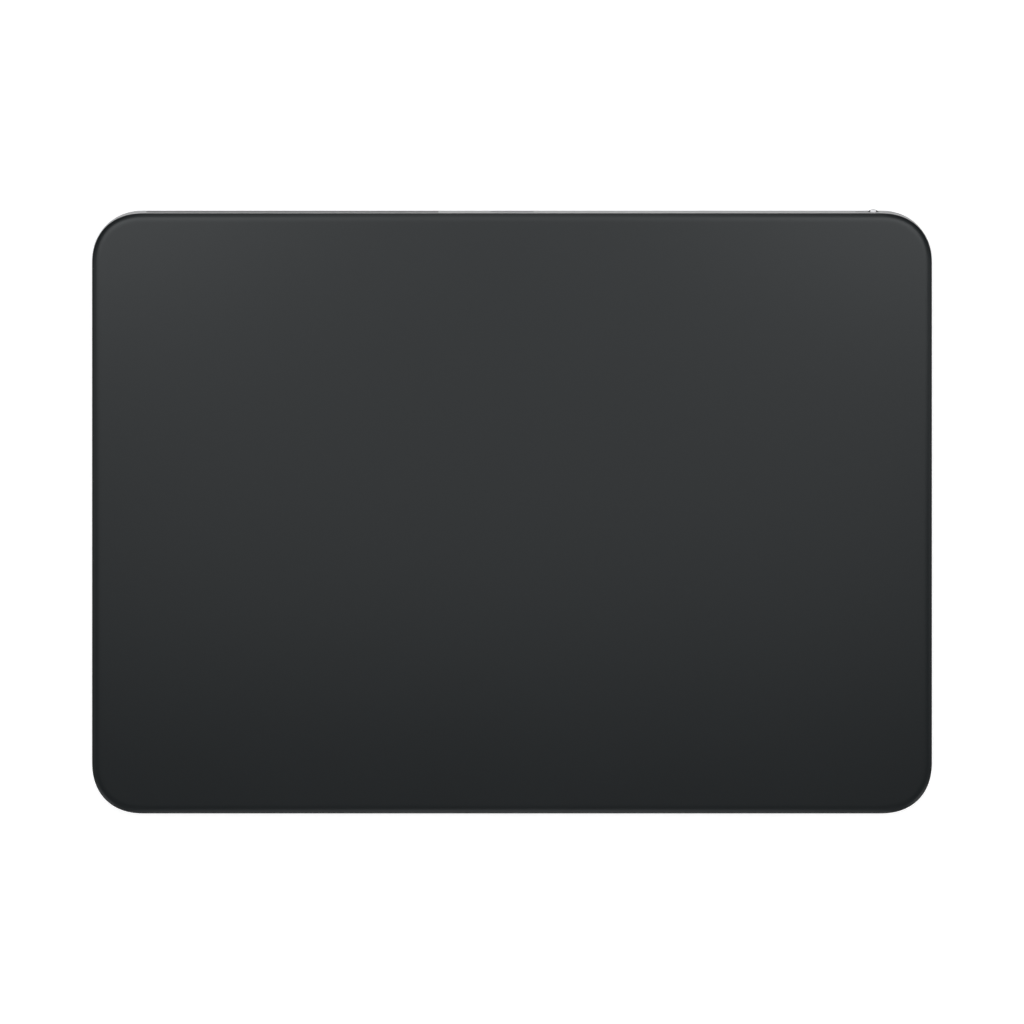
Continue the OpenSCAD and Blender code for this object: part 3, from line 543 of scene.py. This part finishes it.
def makeFinish(name, ownLook):
    look = {**usual, **ownLook}
    mat = bpy.data.materials.new(name)
    mat.use_nodes = True
    tree = mat.node_tree
    surface = tree.nodes["Principled BSDF"]
    where = addNode(tree, "ShaderNodeTexCoord")
    grain = placeGroup(tree, fineGrain, where, look)
    colour = blendColour(tree, grain.outputs["Cloud"], look["dark"], look["light"])
    height = grain.outputs["Height"]
    if "fleck" in look:
        colour = blendColour(tree, grain.outputs["Fleck"], colour, look["fleck"])
    if "stripe" in look:
        lines = placeGroup(tree, evenStripes, where, look["stripe"])
        colour = blendColour(tree, lines.outputs["Mask"], colour, look["stripe"]["tone"])
        height = calc(tree, "ADD", height, lines.outputs["Mask"])
    if "trace" in look:
        traces = placeGroup(tree, boardTraces, where, look["trace"])
        colour = blendColour(tree, traces.outputs["Trace"], colour, look["trace"]["tone"])
        colour = blendColour(tree, traces.outputs["Pads"], colour, look["trace"]["padTone"])
        height = calc(tree, "ADD", height, traces.outputs["Trace"])
        tree.links.new(traces.outputs["Pads"], surface.inputs["Metallic"])
    masks = [(group, look[key]) for key, group in (("rub", edgeRub), ("dust", dustSpecks)) if key in look]
    # painted shade in the openings of the case
    masks += [(openingShadeMask, mouth) for mouth in look.get("mouths", [])]
    for group, effect in masks:
        mask = placeGroup(tree, group, where, effect).outputs["Mask"]
        colour = blendColour(tree, mask, colour, effect["tone"])
    # black slider behind, and painted shade beside the knob's ridge
    if "slider" in look:
        mask = sliderAndShadeMask(tree, where, look["slider"])
        colour = blendColour(tree, mask, colour, look["slider"]["tone"])
        tree.links.new(calc(tree, "SUBTRACT", 1.0, mask), surface.inputs["Metallic"])
    if "trace" not in look and "slider" not in look:
        surface.inputs["Metallic"].default_value = look["metallic"]
    rough = remap(tree, grain.outputs["Cloud"], target=look["rough"])
    bumpInputs = {"Strength": look["bump"], "Distance": look["depth"], "Height": height}
    bump = addNode(tree, "ShaderNodeBump", bumpInputs)
    tree.links.new(colour, surface.inputs["Base Color"])
    tree.links.new(rough, surface.inputs["Roughness"])
    tree.links.new(bump.outputs[0], surface.inputs["Normal"])
    surface.inputs["IOR"].default_value = look["ior"]
    surface.inputs["Specular IOR Level"].default_value = look["shine"]
    surface.inputs["Specular Tint"].default_value = rgba(look["tint"])
    return mat


finishes = {
    "glass": dict(
        dark=(0.0014, 0.0028, 0.0036), light=(0.0018, 0.0033, 0.0042), rough=(0.29, 0.31),
        grain=9000.0, cloud=28.0, bump=0.04, depth=0.01 * mm, shine=0.32, tint=(0.95, 0.985, 1.0),
    ),
    "aluminium": dict(
        dark=(0.47, 0.475, 0.483), light=(0.51, 0.515, 0.523), rough=(0.36, 0.44),
        grain=7000.0, cloud=60.0, bump=0.35, depth=0.02 * mm, metallic=1.0, tint=(0.48, 0.48, 0.48),
        fleck=(0.565, 0.57, 0.578),
        rub=dict(level=0.6 * mm, fade=0.4 * mm, tone=(0.60, 0.60, 0.60)),
    ),
    "base": dict(
        dark=(0.30, 0.305, 0.31), light=(0.34, 0.345, 0.35), rough=(0.52, 0.62),
        grain=3500.0, cloud=45.0, bump=0.35, depth=0.03 * mm,
        dust=dict(scale=500.0, size=0.05, tone=(0.45, 0.45, 0.44)),
    ),
    "window": dict(
        dark=(0.135, 0.137, 0.14), light=(0.155, 0.157, 0.16), rough=(0.55, 0.62),
        grain=5000.0, cloud=60.0, bump=0.2, depth=0.02 * mm, shine=0.15,
    ),
    "foot": dict(
        dark=(0.16, 0.162, 0.165), light=(0.20, 0.202, 0.205), rough=(0.70, 0.82),
        grain=2600.0, cloud=300.0, bump=0.4, depth=0.04 * mm,
        rub=dict(level=0.0, fade=0.3 * mm, tone=(0.30, 0.30, 0.29)),
        dust=dict(scale=900.0, size=0.08, tone=(0.42, 0.41, 0.39)),
    ),
    "seal": dict(
        dark=(0.018, 0.018, 0.02), light=(0.03, 0.03, 0.032), rough=(0.75, 0.9),
        grain=3000.0, cloud=200.0, bump=0.5, depth=0.04 * mm,
    ),
    "plate": dict(
        dark=(0.55, 0.56, 0.57), light=(0.64, 0.65, 0.66), rough=(0.28, 0.40),
        grain=2500.0, cloud=80.0, bump=0.15, depth=0.02 * mm, metallic=1.0,
        stripe=dict(axis=(0, 1, 0), pitch=0.30 * mm, share=0.5, waver=0.8, tone=(0.52, 0.53, 0.54)),
    ),
    "steel": dict(
        dark=(0.58, 0.58, 0.58), light=(0.68, 0.68, 0.67), rough=(0.22, 0.34),
        grain=3000.0, cloud=220.0, bump=0.12, depth=0.01 * mm, metallic=1.0,
        stripe=dict(axis=(0.2, 1, 0.3), pitch=0.12 * mm, share=0.5, waver=0.8, tone=(0.54, 0.54, 0.53)),
    ),
    "magnet": dict(
        dark=(0.50, 0.49, 0.47), light=(0.60, 0.59, 0.56), rough=(0.18, 0.30),
        grain=2500.0, cloud=180.0, bump=0.1, depth=0.01 * mm, metallic=1.0,
    ),
    "board": dict(
        dark=(0.012, 0.075, 0.04), light=(0.02, 0.11, 0.06), rough=(0.32, 0.45),
        grain=900.0, cloud=500.0, bump=0.2, depth=0.03 * mm,
        trace=dict(patch=260.0, pitch=0.45 * mm, pad=0.22,
                   tone=(0.035, 0.17, 0.09), padTone=(0.86, 0.64, 0.28)),
    ),
    "chip": dict(
        dark=(0.02, 0.02, 0.022), light=(0.035, 0.035, 0.037), rough=(0.45, 0.6),
        grain=3000.0, cloud=400.0, bump=0.3, depth=0.02 * mm,
    ),
    "connector": dict(
        dark=(0.05, 0.05, 0.052), light=(0.07, 0.07, 0.072), rough=(0.4, 0.52),
        grain=3000.0, cloud=400.0, bump=0.2, depth=0.02 * mm,
    ),
    "copper": dict(
        dark=(0.62, 0.30, 0.16), light=(0.78, 0.42, 0.24), rough=(0.25, 0.4),
        grain=2500.0, cloud=500.0, bump=0.3, depth=0.02 * mm, metallic=1.0,
    ),
    "winding": dict(
        dark=(0.55, 0.24, 0.12), light=(0.72, 0.36, 0.19), rough=(0.22, 0.34),
        grain=2500.0, cloud=500.0, bump=0.6, depth=0.05 * mm, metallic=1.0,
    ),
    "gold": dict(
        dark=(0.82, 0.58, 0.22), light=(0.92, 0.70, 0.32), rough=(0.2, 0.3),
        grain=3000.0, cloud=900.0, bump=0.1, depth=0.01 * mm, metallic=1.0,
    ),
    "cell": dict(
        dark=(0.07, 0.073, 0.078), light=(0.10, 0.103, 0.108), rough=(0.30, 0.45),
        grain=700.0, cloud=60.0, bump=0.3, depth=0.05 * mm,
    ),
    "cable": dict(
        dark=(0.42, 0.19, 0.035), light=(0.56, 0.28, 0.06), rough=(0.25, 0.36),
        grain=1500.0, cloud=300.0, bump=0.15, depth=0.02 * mm,
        stripe=dict(axis=(1, 0, 0), pitch=0.40 * mm, share=0.55, waver=0.0, tone=(0.34, 0.13, 0.03)),
    ),
    "silicone": dict(
        dark=(0.40, 0.41, 0.42), light=(0.47, 0.48, 0.49), rough=(0.5, 0.62),
        grain=2000.0, cloud=300.0, bump=0.25, depth=0.03 * mm,
    ),
}

# a flat cable that stands on edge has its conductors one above the other
edgeStripe = dict(finishes["cable"]["stripe"], axis=(0, 0, 1), pitch=0.30 * mm)
finishes["edgeCable"] = dict(finishes["cable"], stripe=edgeStripe)

knob = {
    "sliderDepth": 0.9 * mm,  # how much of the switch, from its back, is black slider
    "ridge": 1.1 * mm,  # width of the metal ridge, with painted shade at both sides for the shadowed shoulders of the knob
    # one dark tone for the black slider and for the painted shade beside the ridge
    "sliderAndShadeTone": (0.03, 0.03, 0.032),
}
knobLow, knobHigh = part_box("power_switch")
knobSliderAndShade = dict(level=knobLow.y + knob["sliderDepth"], middle=(knobLow.x + knobHigh.x) / 2,
                  half=knob["ridge"] / 2, tone=knob["sliderAndShadeTone"])
finishes["knob"] = dict(finishes["aluminium"], slider=knobSliderAndShade)

mouths = {
    # painted shade: the cut faces of the openings in the rear wall, and a thin band over their broken edges,
    # are painted darker than the wall, for the shade inside the openings
    "tone": (0.24, 0.242, 0.246),
    "edge": 0.09 * mm,  # how far the painted shade reaches past the opening, over its broken edge
    "openings": {
        # node in the opening: its middle from that node's middle, width, height
        "port_shell": (0.0 * mm, 8.44 * mm, 2.66 * mm),
        "power_switch": (-1.1 * mm, 4.6 * mm, 1.9 * mm),
    },
}


def listOpeningShades():
    # one painted shade for each opening
    found = []
    for node, (shift, width, height) in mouths["openings"].items():
        low, high = slopeBox(node)
        centre = (low + high) / 2 + Vector((shift, 0, 0))
        found.append(dict(lean=-tilt, centre=centre, core=(width - height) / 2,
                          radius=height / 2 + mouths["edge"], tone=mouths["tone"]))
    return found


# the case alone has the openings and their painted shade, so this comes after the knob's finish is taken
# from the same metal
finishes["aluminium"]["mouths"] = listOpeningShades()
materials = {name: makeFinish(name, look) for name, look in finishes.items()}

coil = {
    "width": 22 * mm,  # of one of the two coils
    "wire": 0.20 * mm,
    "wireShare": 0.72,  # of the pitch, the rest is the gap between turns
    "gapTone": (0.16, 0.06, 0.03),
}


def windCoils():
    # the wire's turns follow the long round-ended loop of each coil
    low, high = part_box("haptic_coils")
    tree = materials["winding"].node_tree
    surface = tree.nodes["Principled BSDF"]
    where = addNode(tree, "ShaderNodeTexCoord")
    axes = splitAxes(tree, where.outputs["Object"])
    along = calc(tree, "SUBTRACT", calc(tree, "ABSOLUTE", axes["X"]), high.x - coil["width"] / 2)
    across = calc(tree, "SUBTRACT", axes["Y"], (low.y + high.y) / 2)
    reach = pillReach(tree, along, across, (coil["width"] - (high.y - low.y)) / 2)
    ring = addNode(tree, "ShaderNodeCombineXYZ", {"X": reach}).outputs[0]
    turnInputs = {"Vector": ring, "Axis": (1, 0, 0), "Pitch": coil["wire"], "Share": coil["wireShare"]}
    turns = addNode(tree, "ShaderNodeGroup", turnInputs, node_tree=evenStripes).outputs["Mask"]
    gap = calc(tree, "SUBTRACT", 1.0, turns)
    wire = surface.inputs["Base Color"].links[0].from_socket
    tree.links.new(blendColour(tree, gap, wire, coil["gapTone"]), surface.inputs["Base Color"])
    bump = surface.inputs["Normal"].links[0].from_node
    tree.links.new(turns, bump.inputs["Height"])


windCoils()

# nodes whose finish isn't the one of their slot
ownFinish = {"haptic_coils": "winding", "switch_cable": "edgeCable", "power_switch": "knob"}
for name, obj in nodes.items():
    giveFinish(obj, ownFinish.get(name, slotOf[name]))
print("finishes made,", len(materials))


# the glass, with its edge rolled down all round

glass = {
    "cornerReach": 10.05 * mm,  # where the corner starts to turn
    "cornerProfile": 0.549,  # a little fuller than a round corner
    "cornerSteps": 30,
    "rollWidth": 2.0 * mm,
    "rollTilt": 37,  # degrees at the very edge
    "rollPower": 2.5,  # the roll starts this gently
    "rollSteps": 20,
    "rim": 0.12 * mm,  # flat ring that keeps the sheet's shading even
    "smooth": 30,  # degrees up to which edges are shaded smooth
}


def makeGlass():
    low, high = slopeBox("touch_glass")
    middle = (low + high) / 2
    bpy.ops.object.select_all(action="DESELECT")
    bpy.ops.mesh.primitive_plane_add(size=1, location=(middle.x, middle.y, low.z))
    sheet = bpy.context.active_object
    sheet.name = "touchGlass"
    sheet.scale = (high.x - low.x, high.y - low.y, 1)
    freezePlace(sheet)
    wide = glass["rollWidth"] / glass["rollSteps"]
    rises = []  # how far each ring of the roll climbs, from the edge inwards
    for step in range(glass["rollSteps"]):
        reach = 1 - (step + 0.5) / glass["rollSteps"]
        rises.append(wide * math.tan(math.radians(glass["rollTilt"]) * reach ** glass["rollPower"]))
    bpy.ops.object.mode_set(mode="EDIT")
    bpy.ops.mesh.select_all(action="SELECT")
    bpy.ops.mesh.bevel(offset=glass["cornerReach"], segments=glass["cornerSteps"],
                       profile=glass["cornerProfile"], affect="VERTICES")
    bpy.ops.mesh.select_mode(type="FACE")
    bpy.ops.mesh.select_all(action="SELECT")
    sideHeight = high.z - low.z - sum(rises)
    bpy.ops.mesh.extrude_region_move(TRANSFORM_OT_translate={"value": (0, 0, sideHeight)})
    for rise in rises:
        bpy.ops.mesh.inset(thickness=wide, depth=rise)
    bpy.ops.mesh.inset(thickness=glass["rim"], depth=0)
    bpy.ops.mesh.select_all(action="SELECT")
    bpy.ops.mesh.normals_make_consistent(inside=False)
    bpy.ops.object.mode_set(mode="OBJECT")
    sheet.rotation_euler = (tilt, 0, 0)
    freezePlace(sheet)
    smoothShade(sheet, glass["smooth"])
    giveFinish(sheet, "glass")
    standFor(sheet, "touch_glass", "case")


makeGlass()
print("glass made")


# solids whose sharp edges are broken

softEdge = {
    "sharp": 35,  # degrees from which an edge is broken
    "steps": 3,
    "smooth": 40,
    "weight": 80,  # how far large faces keep their shading flat
}
broken = {
    # node: body, slot, width of the broken edge
    "case": ("case", "aluminium", 0.09 * mm),
    "base_plate": ("case", "base", 0.12 * mm),
    "antenna_window": ("case", "window", 0.08 * mm),
    "port_shell": ("case", "steel", 0.05 * mm),
    "port_tongue": ("case", "connector", 0.05 * mm),
    "power_switch": ("power_switch", "aluminium", 0.12 * mm),
}


def breakEdges(node, body, slotName, width):
    obj = copyPiece(nodes[node], node + "Soft")
    mergeFacets(obj)
    applyModifier(obj, "BEVEL", width=width, segments=softEdge["steps"], limit_method="ANGLE",
                  angle_limit=math.radians(softEdge["sharp"]), use_clamp_overlap=True,
                  miter_outer="MITER_ARC")
    smoothShade(obj, softEdge["smooth"])
    applyModifier(obj, "WEIGHTED_NORMAL", mode="FACE_AREA", weight=softEdge["weight"], keep_sharp=True)
    giveFinish(obj, ownFinish.get(node, slotName))
    standFor(obj, node, body)


for node, (body, slotName, width) in broken.items():
    breakEdges(node, body, slotName, width)
print("edges broken on", len(broken), "solids")


# rubber feet, turned once and copied

foot = {
    "steps": 96,
    "edge": 0.35 * mm,  # rounding of the lower edge
    "edgeSteps": 6,
    "edgeProfile": 0.5,  # round
    "ring": 1.6 * mm,  # width of the ring that stands on the desk
    "dish": 0.12 * mm,  # depth inside the ring
    "dishRun": 2,  # width of the slope into the dish, for its depth
    "smooth": 50,
}


def makeFoot(name):
    low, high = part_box(name + "_foot")
    obj = fillCylinder(name + "FootRubber", low, high, foot["steps"])
    pickEdges(obj, lambda a, b: max(a.z, b.z) < low.z + measure["level"])
    bpy.ops.mesh.bevel(offset=foot["edge"], segments=foot["edgeSteps"],
                       profile=foot["edgeProfile"], affect="EDGES")
    pickFaces(obj, lambda face: face.normal.z < -measure["upright"])
    bpy.ops.mesh.inset(thickness=foot["ring"], depth=0)
    bpy.ops.mesh.inset(thickness=foot["dish"] * foot["dishRun"], depth=-foot["dish"])
    bpy.ops.mesh.inset(thickness=foot["ring"], depth=0)
    bpy.ops.object.mode_set(mode="OBJECT")
    smoothShade(obj, foot["smooth"])
    giveFinish(obj, "foot")
    return obj, (low + high) / 2


firstFoot, firstPlace = makeFoot(corners[0])
standFor(firstFoot, corners[0] + "_foot", corners[0] + "_foot")
for name in corners[1:]:
    low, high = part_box(name + "_foot")
    copied = copyPiece(firstFoot, name + "FootRubber")
    copied.data.transform(Matrix.Translation((low + high) / 2 - firstPlace))
    standFor(copied, name + "_foot", name + "_foot")
print("feet made")


# silicone pads between each foot and its flexure

pad = {
    "steps": 72,
    "edge": 0.16 * mm,  # rounding of both rims
    "edgeSteps": 4,
    "edgeProfile": 0.5,
    "press": 0.2 * mm,  # travel of a foot
    "smooth": 50,
}


def makePad(name):
    low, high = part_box(name + "_pad")
    obj = fillCylinder(name + "SoftPad", low, high, pad["steps"])
    pickEdges(obj, lambda a, b: abs(a.z - b.z) < measure["level"])
    bpy.ops.mesh.bevel(offset=pad["edge"], segments=pad["edgeSteps"],
                       profile=pad["edgeProfile"], affect="EDGES")
    bpy.ops.object.mode_set(mode="OBJECT")
    smoothShade(obj, pad["smooth"])
    giveFinish(obj, "silicone")
    standFor(obj, name + "_pad", "case")
    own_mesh(obj)


for name in corners:
    makePad(name)
print("pads made")


# leaf springs of the haptic motor, which reach the mass

leaves = {
    "cuts": 9,  # along each leaf
    "padLength": 3.0 * mm,  # flat ends, one on the frame and one on the mass
    "seat": 0.01 * mm,  # left between pad and mass
    "smooth": 30,
}


def makeLeaves():
    low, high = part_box("haptic_springs")
    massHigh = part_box("haptic_mass")[1]
    obj = copyPiece(nodes["haptic_springs"], "hapticLeaves")
    mergeFacets(obj)
    near = min(abs(v.co.x) for v in obj.data.vertices)
    first, last = low.y + leaves["padLength"], high.y - leaves["padLength"]
    bpy.ops.object.mode_set(mode="EDIT")
    for cut in range(leaves["cuts"]):
        level = first + (last - first) * (cut + 1) / (leaves["cuts"] + 1)
        bpy.ops.mesh.select_all(action="SELECT")
        bpy.ops.mesh.bisect(plane_co=(0, level, 0), plane_no=(0, 1, 0))
    stretch = (high.x - massHigh.x - leaves["seat"]) / (high.x - near)
    for side in (-1, 1):
        pickFaces(obj, lambda face: face.center.x * side > 0)
        bpy.ops.transform.resize(value=(stretch, 1, 1), center_override=(side * high.x, 0, 0))
    bpy.ops.object.mode_set(mode="OBJECT")
    smoothShade(obj, leaves["smooth"])
    slotName = slotOf["haptic_springs"]
    giveFinish(obj, slotName)
    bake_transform(obj)
    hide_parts("haptic_springs")


makeLeaves()
print("leaf springs made")
